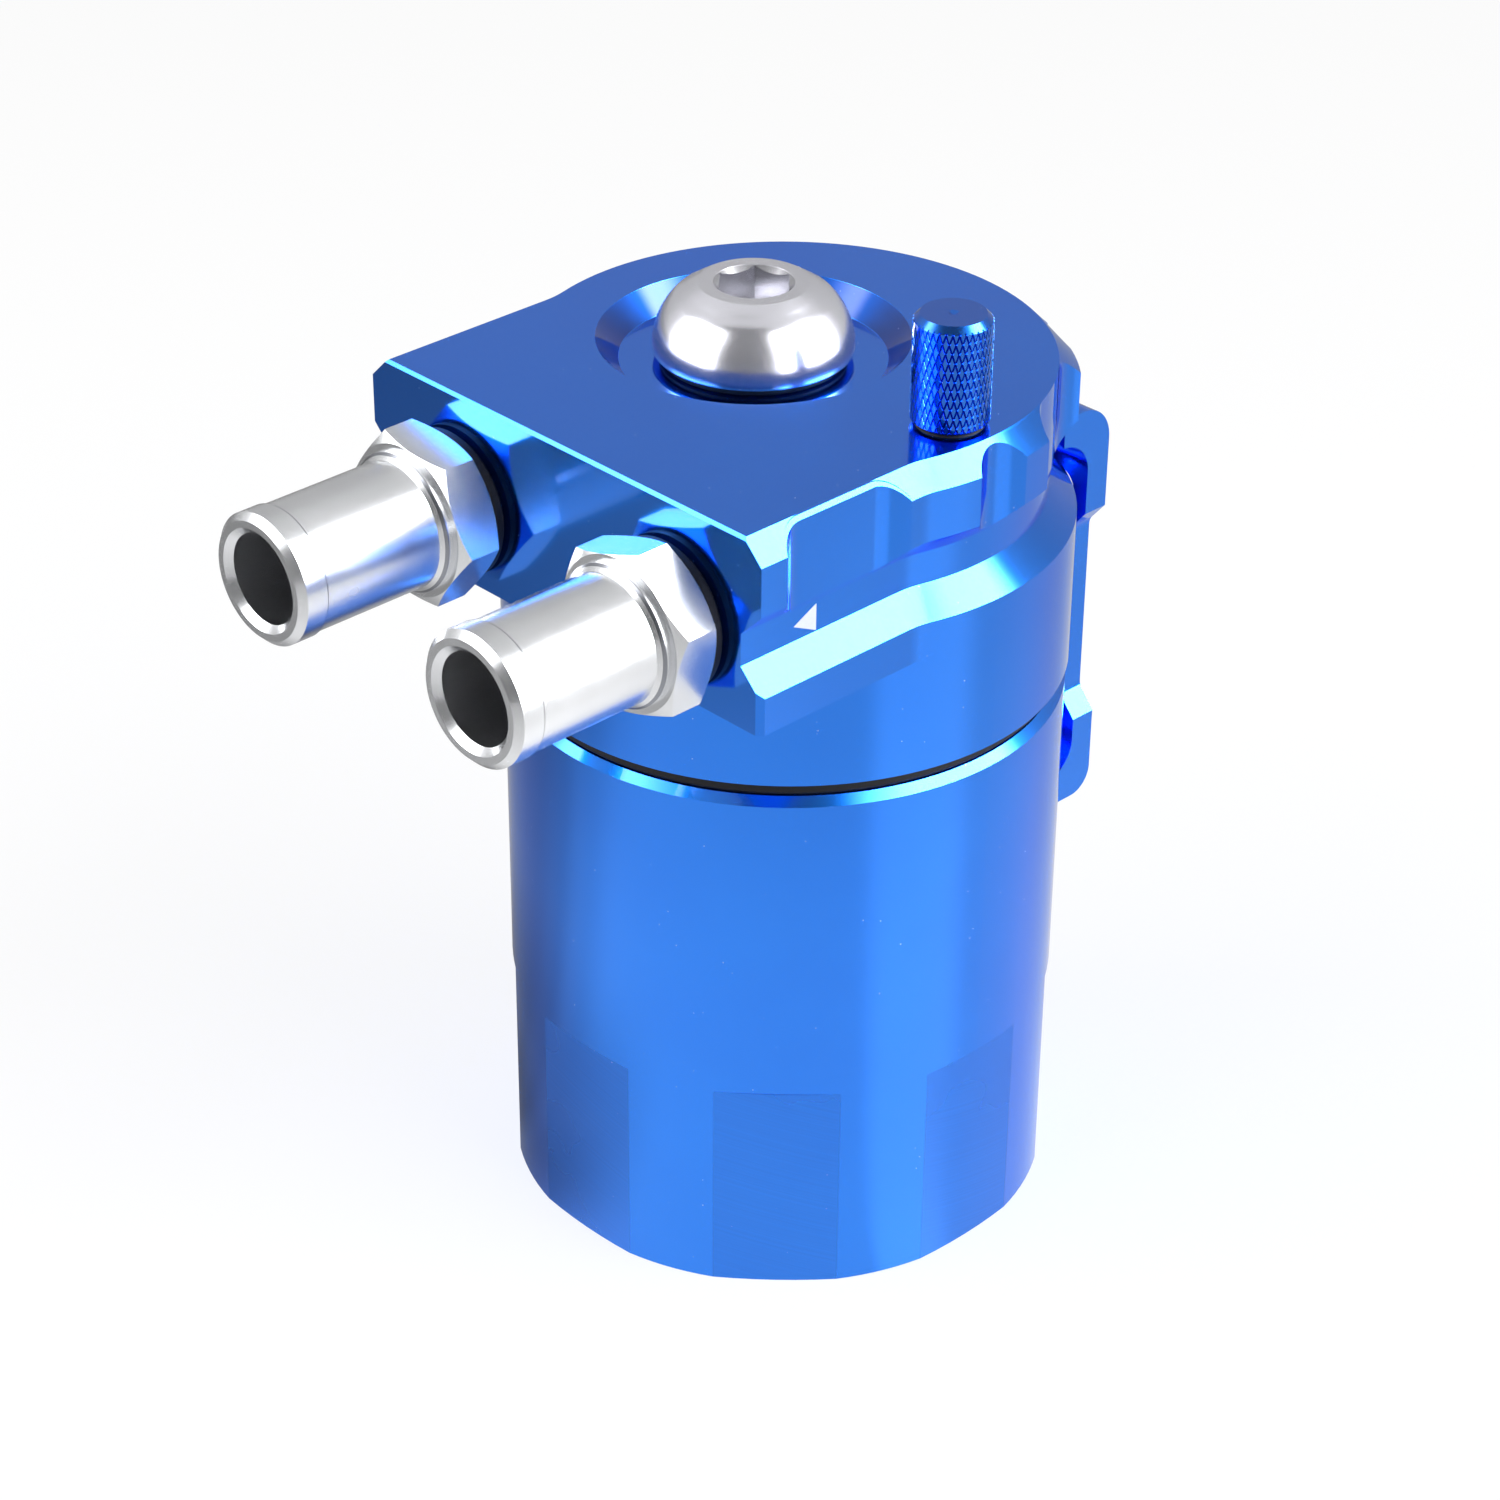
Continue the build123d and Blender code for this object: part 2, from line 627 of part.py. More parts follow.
# Bracket: a channel whose two arms reach round the can, with a waisted web between them.
waist_top = lid_top - waist_top_drop
waist_bottom = lid_top - waist_bottom_drop
web_front_limit = 20.0
waist_step = bracket_half_width - bracket_waist_half_width
mount_heights = (lid_top - mount_top_drop, lid_top - mount_top_drop - mount_hole_span)
with BuildPart() as bracket:
    with BuildSketch(Plane.YZ) as channel:
        with Locations((bracket_back - web_front_limit / 2, (bracket_top + bracket_foot) / 2)):
            Rectangle(web_front_limit, bracket_height)
        back_corners = channel.vertices().group_by(Axis.X)[-1].sort_by(Axis.Y)
        fillet(back_corners[0], bracket_foot_radius)
        fillet(channel.vertices().sort_by(Axis.X)[-2:].sort_by(Axis.Y)[-1], bracket_top_radius)
        with Locations((bracket_front - web_front_limit / 2, (bracket_top + bracket_foot) / 2)):
            RectangleRounded(
                web_front_limit, bracket_height - 2 * bracket_arm, bracket_inner_radius, mode=Mode.SUBTRACT
            )
    extrude(amount=bracket_half_width, both=True)
    with BuildSketch() as reach:
        Circle(skirt_radius + bracket_can_gap)
    extrude(amount=lid_top, mode=Mode.SUBTRACT)
    with BuildSketch(Plane.XZ) as waist:
        for side in (-1, 1):
            Polygon(
                (side * (bracket_half_width + 1), waist_top + waist_slope / waist_step),
                (side * bracket_waist_half_width, waist_top - waist_slope),
                (side * bracket_waist_half_width, waist_bottom + waist_slope),
                (side * (bracket_half_width + 1), waist_bottom - waist_slope / waist_step),
                align=None,
            )
        fillet(waist.vertices().filter_by(lambda v: abs(v.X) < bracket_half_width), waist_fillet)
    extrude(amount=-2 * can_radius, mode=Mode.SUBTRACT)
    with BuildSketch(Plane.XZ.offset(-bracket_back)):
        with Locations(*[(side * mount_hole_x, height) for side in (-1, 1) for height in mount_heights]):
            Circle(mount_hole_radius)
    extrude(amount=bracket_thickness, mode=Mode.SUBTRACT)
    back_plane = Plane.XZ.offset(-bracket_back)
    with Locations(*[back_plane.location * Location((0, height, 0)) for height in lid_screw_heights]):
        CounterSinkHole(lid_screw_hole, lid_screw_head, 2 * bracket_thickness, counter_sink_angle=90)
keep(bracket, "bracket")

# Countersunk screws that hold the bracket to the lid.
screw_end = bracket_front - lid_screw_depth
with BuildPart() as bracket_screws:
    for height in lid_screw_heights:
        with BuildSketch(Plane.YZ):
            with BuildLine():
                Polyline(
                    (screw_end, height),
                    (screw_end, height + lid_screw_radius),
                    (bracket_back - lid_screw_head + lid_screw_radius, height + lid_screw_radius),
                    (bracket_back, height + lid_screw_head),
                    (bracket_back, height),
                    close=True,
                )
            make_face()
        revolve(axis=Axis((0, 0, height), (0, 1, 0)))
    with BuildSketch(Plane.XZ.offset(-bracket_back)):
        with Locations(*[(0, height) for height in lid_screw_heights]):
            RegularPolygon(lid_screw_socket / 2, 6, major_radius=False)
    extrude(amount=lid_screw_radius, mode=Mode.SUBTRACT)
keep(bracket_screws, "bracket_screws")
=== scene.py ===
"""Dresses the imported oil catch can: a finish for every piece, and its turned, knurled and threaded detail."""

import math

import bpy
from mathutils import Matrix, Vector


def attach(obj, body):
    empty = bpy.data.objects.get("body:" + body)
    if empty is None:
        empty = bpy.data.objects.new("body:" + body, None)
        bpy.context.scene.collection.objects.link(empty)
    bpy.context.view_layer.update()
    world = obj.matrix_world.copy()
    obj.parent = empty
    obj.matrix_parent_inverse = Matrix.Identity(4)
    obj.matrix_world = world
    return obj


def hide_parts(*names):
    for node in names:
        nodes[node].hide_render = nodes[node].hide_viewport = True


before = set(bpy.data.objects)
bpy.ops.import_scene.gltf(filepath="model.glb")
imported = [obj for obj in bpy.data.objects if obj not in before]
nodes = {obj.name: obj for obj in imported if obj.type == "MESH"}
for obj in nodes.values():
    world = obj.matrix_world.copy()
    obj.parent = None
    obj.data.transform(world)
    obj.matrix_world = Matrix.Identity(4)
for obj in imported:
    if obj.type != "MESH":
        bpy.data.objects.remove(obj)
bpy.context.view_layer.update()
scene = bpy.context.scene


# The cup is turned from aluminium bar and anodised bright blue. The lathe leaves fine rings round it, and
# the eight wrench flats at its foot are milled afterwards, so their marks run slanting across them.
class Strand:
    """One output of a shader node. Python's operators on it add Math nodes."""

    def __init__(self, finish, socket):
        self.finish, self.socket = finish, socket

    def maths(self, operation, *terms):
        return self.finish.node("ShaderNodeMath", {"operation": operation}, dict(enumerate(terms)))

    def __add__(self, other):
        return self.maths("ADD", self, other)

    def __sub__(self, other):
        return self.maths("SUBTRACT", self, other)

    def __rsub__(self, other):
        return self.maths("SUBTRACT", other, self)

    def __mul__(self, other):
        return self.maths("MULTIPLY", self, other)

    def __truediv__(self, other):
        return self.maths("DIVIDE", self, other)

    def __pow__(self, other):
        return self.maths("POWER", self, other)

    def __abs__(self):
        return self.maths("ABSOLUTE", self)

    def __gt__(self, other):
        return self.maths("GREATER_THAN", self, other)

    def __lt__(self, other):
        return self.maths("LESS_THAN", self, other)

    def reach(self, other):
        """How far a point is from zero, by two of its coordinates."""
        return (self * self + other * other) ** 0.5

    __radd__ = __add__
    __rmul__ = __mul__


class Finish:
    """A procedural material, or the world's shader, built up node by node."""

    def __init__(self, name, world=None):
        self.material = world or bpy.data.materials.new(name)
        self.material.use_nodes = True
        self.tree = self.material.node_tree
        self.tree.nodes.clear()

    def node(self, kind, settings, sockets, output=0):
        """Adds a node: its settings first, then the value or link of each socket. Returns one output."""
        made = self.tree.nodes.new(kind)
        for name, value in settings.items():
            setattr(made, name, value)
        for name, value in sockets.items():
            socket = made.inputs[name]
            if isinstance(value, Strand):
                self.tree.links.new(value.socket, socket)
            elif socket.type == "RGBA" and len(value) == 3:
                socket.default_value = (*value, 1)
            else:
                socket.default_value = value
        return Strand(self, made.outputs[output]) if len(made.outputs) else None

    def split(self, vector):
        """The three coordinates of a vector."""
        return [self.node("ShaderNodeSeparateXYZ", {}, {0: vector}, axis) for axis in range(3)]

    def place(self):
        """The point being shaded, in the part's own frame, and its three coordinates."""
        point = self.node("ShaderNodeTexCoord", {}, {}, "Object")
        return point, *self.split(point)

    def noise(self, point, scale, detail=2.0, roughness=0.5):
        """Cloudy values round 0.5."""
        values = {"Vector": point, "Scale": scale, "Detail": detail, "Roughness": roughness}
        return self.node("ShaderNodeTexNoise", {}, values)

    def lines(self, along, spacing, detail=3.0):
        """Fine lines of uneven strength across one coordinate, as a cutting tool leaves."""
        values = {"W": along / spacing, "Scale": 1.0, "Detail": detail, "Roughness": 0.65}
        return self.node("ShaderNodeTexNoise", {"noise_dimensions": "1D"}, values)

    def specks(self, point, cell, size):
        """Scattered small dots: 1 in a dot, else 0. Most cells have none that shows."""
        values = {"Vector": point, "Scale": 1 / cell}
        distance = self.node("ShaderNodeTexVoronoi", {}, values, "Distance")
        picked = self.split(self.node("ShaderNodeTexVoronoi", {}, values, "Color"))[0]
        return (distance < picked**6 * (size / cell)) * 1.0

    def tint(self, mask, first, second):
        """The first colour where the mask is 0, and the second where it is 1."""
        return self.node("ShaderNodeMix", {"data_type": "RGBA"}, {0: mask, 6: first, 7: second}, 2)

    def ramp(self, value, *steps):
        """A value that goes smoothly from one step to the next, each a (place, result) pair."""
        result = steps[0][1]
        settings = {"interpolation_type": "SMOOTHSTEP"}
        for (start, before), (end, after) in zip(steps, steps[1:]):
            limits = {"From Min": start, "From Max": end, "To Min": 0.0, "To Max": after - before}
            result = self.node("ShaderNodeMapRange", settings, {"Value": value, **limits}) + result
        return result

    def bump(self, height, depth):
        """A normal from a height of 0 to 1 that is that many metres deep."""
        return self.node("ShaderNodeBump", {}, {"Height": height, "Distance": depth})

    def surface(self, **values):
        """Ends the material in one Principled shader."""
        sockets = {name.replace("_", " "): value for name, value in values.items()}
        shader = self.node("ShaderNodeBsdfPrincipled", {}, sockets)
        self.node("ShaderNodeOutputMaterial", {}, {"Surface": shader})
        return self.material


def wear(piece, material):
    """Gives a piece its one material."""
    piece.data.materials.clear()
    piece.data.materials.append(material)


def anodised(finish, point, clouds, normal, roughness, painted_shade=0.0):
    """The dyed oxide layer: clear and glossy over bright metal, a little uneven, with specks of dust in it.

    The shade, from 0 to 1, is painted shade: it darkens the blue towards navy where a face is to look shaded.
    """
    dust = finish.specks(point, 0.0011, 0.00010)
    blue = finish.tint(clouds, (0.003, 0.175, 0.82), (0.008, 0.225, 0.92))
    # Painted shade: the blue darkened towards navy.
    blue = finish.tint(painted_shade, blue, (0.0, 0.03, 0.22))
    return finish.surface(
        Base_Color=finish.tint(dust, blue, (0.30, 0.42, 0.95)),
        Metallic=1.0,
        Roughness=roughness + dust * 0.25,
        Specular_Tint=(0.25, 0.50, 1.0, 1),
        Coat_Weight=0.9,
        Coat_Roughness=0.03,
        Coat_IOR=1.5,
        Normal=normal,
    )


cup_blue = Finish("cup_blue")
point, x, y, z = cup_blue.place()
clouds = cup_blue.noise(point, 38.0, 3.0)
flat_count, flat_share, flats_top = 8, 0.2867, 0.0310
turn = x.maths("ARCTAN2", y, x)
from_middle = abs(x.maths("FRACT", turn / (2 * math.pi / flat_count) + 8.5) - 0.5)
across = from_middle / flat_share
on_flat = (across < 1) * (z < flats_top) * (z > 0.0001)
rings = cup_blue.lines(z, 0.00022)
milled = cup_blue.lines(z + (x + y) * 0.22, 0.00042, 4.0)
marks = rings * (1 - on_flat) * 0.8 + milled * on_flat * 5.0
run_out_shadow = (across < 1) * (z > flats_top) * (z < flats_top + 0.00002 + 0.00040 * (1 - across * across))
flat_edge_shade = (abs(across - 1) < 0.012) * (z < flats_top)
# Painted shade: the flats are darkened, unevenly along their milling marks. The run-out step above each flat
# gets a painted shadow line, and each flat's edge a thin painted dark line.
painted_shade = on_flat * (0.07 + milled * 0.24) + run_out_shadow * 0.55 + flat_edge_shade * 0.12
cup_normal = cup_blue.bump(marks, 0.0000022)
cup_roughness = 0.16 + clouds * 0.08 + on_flat * 0.08
wear(nodes["can_body"], anodised(cup_blue, point, clouds, cup_normal, cup_roughness, painted_shade))

# Sealing rings are black nitrile rubber, squeezed in the cup's seam, under the plug and the knob, and
# behind each nipple's hexagon. They are moulded smooth and slightly dull.
rubber = Finish("ring_rubber")
point, x, y, z = rubber.place()
grain = rubber.noise(point, 3000.0, 3.0)
ring_rubber = rubber.surface(
    Base_Color=rubber.tint(grain, (0.006, 0.006, 0.007), (0.014, 0.014, 0.016)),
    Roughness=0.36 + grain * 0.2,
    Specular_IOR_Level=0.2,
    Normal=rubber.bump(grain, 0.000008),
)
for name in ("can_seal_ring", "plug_seal_ring", "dipstick_seal_ring", "inlet_seal_ring", "outlet_seal_ring"):
    wear(nodes[name], ring_rubber)

# The lid is milled from one block and anodised like the cup. Its top is faced almost to a mirror, the
# cutter's faint lines run along its sides, and the bevel of the dish round the plug is cut more coarsely.
lid_blue = Finish("lid_blue")
point, x, y, z = lid_blue.place()
clouds = lid_blue.noise(point, 30.0, 3.0)
lid_top, dish_floor, plug_centre = 0.1215, 0.1185, (-0.0066, 0)
faced = z > lid_top - 0.0002
side_lines = lid_blue.lines(z, 0.00034) * (1 - faced)
from_plug = (x - plug_centre[0]).reach(y)
dish_bevel = (from_plug < 0.0206) * (z > dish_floor + 0.00005) * (z < lid_top - 0.00005)
bevel_lines = lid_blue.lines(z, 0.00016) * dish_bevel * 4.0
lid_normal = lid_blue.bump(side_lines + bevel_lines, 0.0000016)
lid_roughness = 0.11 + clouds * 0.06 + faced * 0.05 + dish_bevel * 0.22
# The dish's bevel is darkened towards navy as painted shade.
lid_material = anodised(lid_blue, point, clouds, lid_normal, lid_roughness, dish_bevel * 0.86)
wear(nodes["lid"], lid_material)


# The lid's spigot is cut with a coarse thread, which screws into the cup. It is part of the lid and sits in
# the relief that the lid has for it.
def pick(*pieces):
    """Selects these pieces alone, with the last of them active."""
    bpy.ops.object.select_all(action="DESELECT")
    for piece in pieces:
        piece.select_set(True)
    bpy.context.view_layer.objects.active = pieces[-1]


def finished(piece, material, body, smooth=30):
    """Settles a new piece: its place goes into its mesh, and it gets its finish and its body."""
    pick(piece)
    bpy.ops.object.transform_apply()
    bpy.ops.object.shade_smooth_by_angle(angle=math.radians(smooth))
    wear(piece, material)
    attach(piece, body)


def thread(name, centre, root, crest, pitch, low, turns, material, body):
    """One ridge wound round an axis: a blunt-topped section, swept up and closed at both ends."""
    bpy.ops.object.select_all(action="DESELECT")
    bpy.ops.mesh.primitive_plane_add(size=1, rotation=(math.radians(90), 0, 0))
    ridge = bpy.context.object
    ridge.name = ridge.data.name = name
    bpy.ops.object.transform_apply()
    for corner in ridge.data.vertices:
        outer = corner.co.x > 0
        corner.co.x = crest if outer else root
        corner.co.z = low + math.copysign(pitch * (0.07 if outer else 0.40), corner.co.z)
    bpy.ops.object.mode_set(mode="EDIT")
    bpy.ops.mesh.select_all(action="SELECT")
    bpy.ops.mesh.delete(type="ONLY_FACE")
    bpy.ops.object.mode_set(mode="OBJECT")
    sweep = ridge.modifiers.new("sweep", "SCREW")
    sweep.angle, sweep.screw_offset, sweep.iterations = 2 * math.pi * turns, pitch * turns, 1
    sweep.steps = sweep.render_steps = int(turns * 64)
    bpy.ops.object.modifier_apply(modifier="sweep")
    bpy.ops.object.mode_set(mode="EDIT")
    bpy.ops.mesh.select_all(action="SELECT")
    bpy.ops.mesh.remove_doubles(threshold=0.000001)
    bpy.ops.mesh.select_all(action="DESELECT")
    bpy.ops.mesh.select_mode(type="EDGE")
    bpy.ops.mesh.select_non_manifold()
    bpy.ops.mesh.fill_holes(sides=4)
    bpy.ops.mesh.select_all(action="SELECT")
    bpy.ops.mesh.normals_make_consistent(inside=False)
    bpy.ops.object.mode_set(mode="OBJECT")
    ridge.location = (*centre, 0)
    finished(ridge, material, body)


thread("spigot_thread", (0, 0), 0.0335, 0.0344, 0.0015, 0.0721, 2.6, lid_material, "head")


# Each side scallop of the lid is cut a little less deep than the top bevel is wide, so a narrow strip of the
# bevel runs on above it. The strip is milled in one with the lid.
def carve(piece, tool, operation="DIFFERENCE"):
    """Cuts one solid with another, which is used up."""
    cut = piece.modifiers.new("cut", "BOOLEAN")
    cut.object, cut.operation, cut.solver = tool, operation, "EXACT"
    pick(piece)
    bpy.ops.object.modifier_apply(modifier="cut")
    bpy.data.objects.remove(tool)


def scallop_bar(name, x_place, radius, depth):
    """An upright bar with the side scallop's outline: a round bar, drawn out backwards."""
    bpy.ops.object.select_all(action="DESELECT")
    front, length = -0.0309, 0.0123
    bpy.ops.mesh.primitive_cylinder_add(
        vertices=96, radius=radius, depth=depth, location=(x_place, front, 0.1150)
    )
    bar = bpy.context.object
    bar.name = bar.data.name = name
    bpy.ops.object.transform_apply()
    for corner in bar.data.vertices:
        if corner.co.y > front + 0.00005:
            corner.co.y += length
    return bar


for side, name in ((1, "right_scallop_rest"), (-1, "left_scallop_rest")):
    rest = scallop_bar(name, side * 0.0378, 0.00515, 0.0140)
    carve(rest, scallop_bar("cutter", side * 0.0383, 0.0050, 0.0160))
    bpy.ops.object.select_all(action="DESELECT")
    bpy.ops.mesh.primitive_cube_add(size=1)
    rim = bpy.context.object
    for corner in rim.data.vertices:
        at_edge = side * corner.co.x > 0
        x_place, low, high = (0.03579, 0.11185, 0.11848) if at_edge else (0.03265, 0.10871, 0.12148)
        corner.co = (side * x_place, corner.co.y * 0.030 - 0.0247, high if corner.co.z > 0 else low)
    carve(rest, rim, "INTERSECT")
    finished(rest, lid_material, "head")

# A plain white arrow is printed on the lid's side band beside the outlet, pointing the way the gas leaves.
paint = Finish("arrow_paint")
point, x, y, z = paint.place()
grain = paint.noise(point, 2500.0, 3.0)
arrow_paint = paint.surface(
    Base_Color=paint.tint(grain, (0.80, 0.80, 0.82), (0.93, 0.93, 0.94)),
    Roughness=0.45 + grain * 0.2,
    Normal=paint.bump(grain, 0.000006),
)
bpy.ops.object.select_all(action="DESELECT")
bpy.ops.mesh.primitive_circle_add(
    vertices=3,
    radius=0.00256,
    fill_type="NGON",
    location=(0.03238, -0.02818, 0.10600),
    rotation=(math.radians(180), math.radians(90), 0),
)
arrow = bpy.context.object
arrow.name = arrow.data.name = "outlet_arrow"
bpy.ops.object.mode_set(mode="EDIT")
bpy.ops.mesh.select_all(action="SELECT")
bpy.ops.transform.resize(value=(1, 1, 0.835))
bpy.ops.mesh.bevel(offset=0.00012, segments=3, affect="VERTICES")
bpy.ops.mesh.extrude_region_move(TRANSFORM_OT_translate={"value": (0.00004, 0, 0)})
bpy.ops.mesh.select_all(action="SELECT")
bpy.ops.mesh.normals_make_consistent(inside=False)
bpy.ops.object.mode_set(mode="OBJECT")
finished(arrow, arrow_paint, "head")

# The hose nipples are turned from hexagon bar and left plain, with a satin surface. The lathe's rings run
# round the spigot, the hexagon keeps the drawn bar's lengthwise streaks, and two turned corners are
# painted dark as shade.
nipple_silver = Finish("nipple_silver")
point, x, y, z = nipple_silver.place()
cloud = nipple_silver.noise(point, 90.0, 3.0)
on_spigot = y < -0.0475
turned = nipple_silver.lines(y, 0.00020) * on_spigot
drawn = nipple_silver.lines(z * 0.8 + x * 0.6, 0.00025) * (1 - on_spigot) * 1.5
from_axis = (abs(x) - 0.0199).reach(z - 0.1064)
# Painted shade: thin dark rings in the two turned corners.
corner_shade = ((abs(y + 0.0670) < 0.00016) + (abs(y + 0.0486) < 0.00022)) * (from_axis > 0.0075)
bright = nipple_silver.tint(cloud, (0.66, 0.67, 0.69), (0.78, 0.79, 0.81))
nipple_material = nipple_silver.surface(
    Base_Color=nipple_silver.tint(corner_shade, bright, (0.28, 0.29, 0.32)),
    Metallic=1.0,
    Roughness=0.20 + cloud * 0.10,
    Normal=nipple_silver.bump(turned + drawn, 0.0000030),
)
wear(nodes["inlet_nipple"], nipple_material)
wear(nodes["outlet_nipple"], nipple_material)

# The centre plug closes the filling hole. It is turned from aluminium with a two-step dome, has a hexagon
# socket with a countersunk mouth and a drilled bottom, and is glass-blasted to a satin surface.
plug_silver = Finish("plug_silver")
point, x, y, z = plug_silver.place()
cloud = plug_silver.noise(point, 150.0, 3.0)
blasted = plug_silver.noise(point, 5200.0, 2.0, 0.6)
turned = plug_silver.lines(z, 0.00030)
# The inside of the hexagon socket is painted darker, as shade in the recess.
socket_shade = ((x - plug_centre[0]).reach(y) < 0.005254) * (z > 0.122)
satin = plug_silver.tint(cloud, (0.74, 0.74, 0.80), (0.82, 0.82, 0.88))
plug_material = plug_silver.surface(
    Base_Color=plug_silver.tint(socket_shade, satin, (0.50, 0.50, 0.53)),
    Metallic=1.0,
    Roughness=0.19 + cloud * 0.06,
    Normal=plug_silver.bump(blasted * 0.7 + turned * 0.3, 0.0000045),
)


def turned_piece(name, centre, rings, sides=96):
    """Turns a solid: a disc at the lowest ring is drawn up through the others, as (radius, height) pairs."""
    bpy.ops.object.select_all(action="DESELECT")
    radius, height = rings[0]
    bpy.ops.mesh.primitive_circle_add(
        vertices=sides, radius=radius, fill_type="NGON", location=(*centre, height)
    )
    piece = bpy.context.object
    piece.name = piece.data.name = name
    bpy.ops.object.transform_apply()
    bpy.ops.object.mode_set(mode="EDIT")
    bpy.ops.mesh.select_all(action="SELECT")
    for wider, higher in rings[1:]:
        bpy.ops.mesh.extrude_region_move(TRANSFORM_OT_translate={"value": (0, 0, higher - height)})
        share = wider / radius
        bpy.ops.transform.resize(value=(share, share, 1), center_override=(*centre, higher))
        radius, height = wider, higher
    bpy.ops.mesh.select_all(action="SELECT")
    bpy.ops.mesh.normals_make_consistent(inside=False)
    bpy.ops.object.mode_set(mode="OBJECT")
    return piece


def merge_doubles(piece):
    """Merges the corners that cuts left less than a micron apart."""
    pick(piece)
    bpy.ops.object.mode_set(mode="EDIT")
    bpy.ops.mesh.select_all(action="SELECT")
    bpy.ops.mesh.remove_doubles(threshold=0.000001)
    bpy.ops.object.mode_set(mode="OBJECT")


dome_round, dome_slopes = 0.00955, (0, 4, 8, 12, 16, 20, 24, 28, 32, 36, 40, 43, 46.3)
shank = [(0.0062, 0.1120), (0.0070, 0.1128), (0.0070, 0.1179), (0.00795, 0.1185), (0.00795, 0.1196)]
head_edge = [(0.0127, 0.1196), (0.01298, 0.11967), (0.01312, 0.11990)]
lower_dome = [
    (0.0036 + dome_round * math.cos(slope), 0.1203 + dome_round * math.sin(slope))
    for slope in map(math.radians, dome_slopes)
]
upper_dome = [(0.0096, 0.12752), (0.0089, 0.12803), (0.0083, 0.12842), (0.0077, 0.12876), (0.00728, 0.1290)]
flat_top = [(0.0069, 0.1290)]
plug_rings = shank + head_edge + lower_dome + upper_dome + flat_top
centre_plug = turned_piece("turned_plug", plug_centre, plug_rings)
carve(centre_plug, turned_piece("mouth", plug_centre, [(0.0044, 0.12825), (0.00552, 0.12915)], 64))
socket_across = 0.0090
bpy.ops.mesh.primitive_cylinder_add(
    vertices=6,
    radius=socket_across / 2 / math.cos(math.radians(30)),
    depth=0.0060,
    location=(*plug_centre, 0.1265),
    rotation=(0, 0, math.radians(-15)),
)
carve(centre_plug, bpy.context.object)
drilled = [(0.0002, 0.1222), (0.0041, 0.12352), (0.0041, 0.1240)]
carve(centre_plug, turned_piece("tip", plug_centre, drilled, 48))
merge_doubles(centre_plug)
finished(centre_plug, plug_material, "plug", 20)
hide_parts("centre_plug")
thread(
    "plug_thread", plug_centre, 0.0069, 0.0079, 0.0015, 0.11365, 2.4, plug_material, "plug"
)

# The dipstick's knob is a blue anodised finger knob, knurled all round between a chamfered top with a lathe
# centre mark and a broken lower edge. Its neck is threaded, and the rod is pressed into it.
knob_blue = Finish("knob_blue")
point, x, y, z = knob_blue.place()
clouds = knob_blue.noise(point, 160.0, 3.0)
knob_normal = knob_blue.bump(knob_blue.lines(z, 0.00025), 0.0000012)
# The knob's blue is darkened all over towards navy as painted shade.
knob_material = anodised(knob_blue, point, clouds, knob_normal, 0.15 + clouds * 0.06, 0.34 + clouds * 0.05)
knob_centre, knurl_middle, knurl_length = (0.0283, 0), 0.1292, 0.01503
knurl_root, knurl_columns, knurl_rows = 0.00478, 38, 6
bpy.ops.object.select_all(action="DESELECT")
bpy.ops.mesh.primitive_cylinder_add(
    vertices=knurl_columns, radius=knurl_root, depth=knurl_length, location=(*knob_centre, knurl_middle)
)
knob = bpy.context.object
knob.name = knob.data.name = "knurled_knob"
bpy.ops.object.transform_apply()
bpy.ops.object.mode_set(mode="EDIT")
bpy.ops.mesh.select_all(action="DESELECT")
bpy.ops.mesh.select_mode(type="EDGE")
bpy.ops.object.mode_set(mode="OBJECT")
for edge in knob.data.edges:
    first, second = (knob.data.vertices[i].co for i in edge.vertices)
    edge.select = abs(first.z - second.z) > 0.001
bpy.ops.object.mode_set(mode="EDIT")
bpy.ops.mesh.subdivide(number_cuts=knurl_rows - 1)
bpy.ops.mesh.select_mode(type="FACE")
bpy.ops.mesh.select_all(action="DESELECT")
bpy.ops.object.mode_set(mode="OBJECT")
for face in knob.data.polygons:
    face.select = abs(face.normal.z) < 0.5
bpy.ops.object.mode_set(mode="EDIT")
bpy.ops.mesh.poke()
bpy.ops.mesh.select_mode(type="EDGE")
bpy.ops.mesh.select_all(action="DESELECT")
bpy.ops.object.mode_set(mode="OBJECT")


def on_column(corner):
    """True at a corner of the first grid, which lies a little further out than the middle of a face."""
    return math.hypot(corner.x - knob_centre[0], corner.y - knob_centre[1]) > knurl_root * 0.9985


for edge in knob.data.edges:
    first, second = (knob.data.vertices[i].co for i in edge.vertices)
    at_end = all(abs(abs(corner.z - knurl_middle) - knurl_length / 2) < 0.0001 for corner in (first, second))
    edge.select = on_column(first) and on_column(second) and not at_end
bpy.ops.object.mode_set(mode="EDIT")
bpy.ops.mesh.dissolve_edges(use_verts=False)
bpy.ops.mesh.select_mode(type="FACE")
bpy.ops.mesh.select_all(action="DESELECT")
bpy.ops.object.mode_set(mode="OBJECT")
for face in knob.data.polygons:
    face.select = abs(face.normal.z) < 0.5
bpy.ops.object.mode_set(mode="EDIT")
bpy.ops.mesh.inset(thickness=0.00011, depth=0.00024, use_individual=True)
bpy.ops.object.mode_set(mode="OBJECT")
blank_rings = [(0.0046, 0.1220), (0.00503, 0.12243), (0.00503, 0.13552), (0.00415, 0.1364)]
carve(knob, turned_piece("blank", knob_centre, blank_rings, 128), "INTERSECT")
mark_rings = [(0.00005, 0.13605), (0.0007, 0.1364), (0.0008, 0.1365)]
carve(knob, turned_piece("mark", knob_centre, mark_rings, 32))
neck_rings = [(0.0021, 0.1108), (0.00245, 0.11115), (0.00245, 0.1199), (0.00295, 0.1203), (0.00295, 0.1225)]
pick(turned_piece("neck", knob_centre, neck_rings, 64), knob)
bpy.ops.object.join()
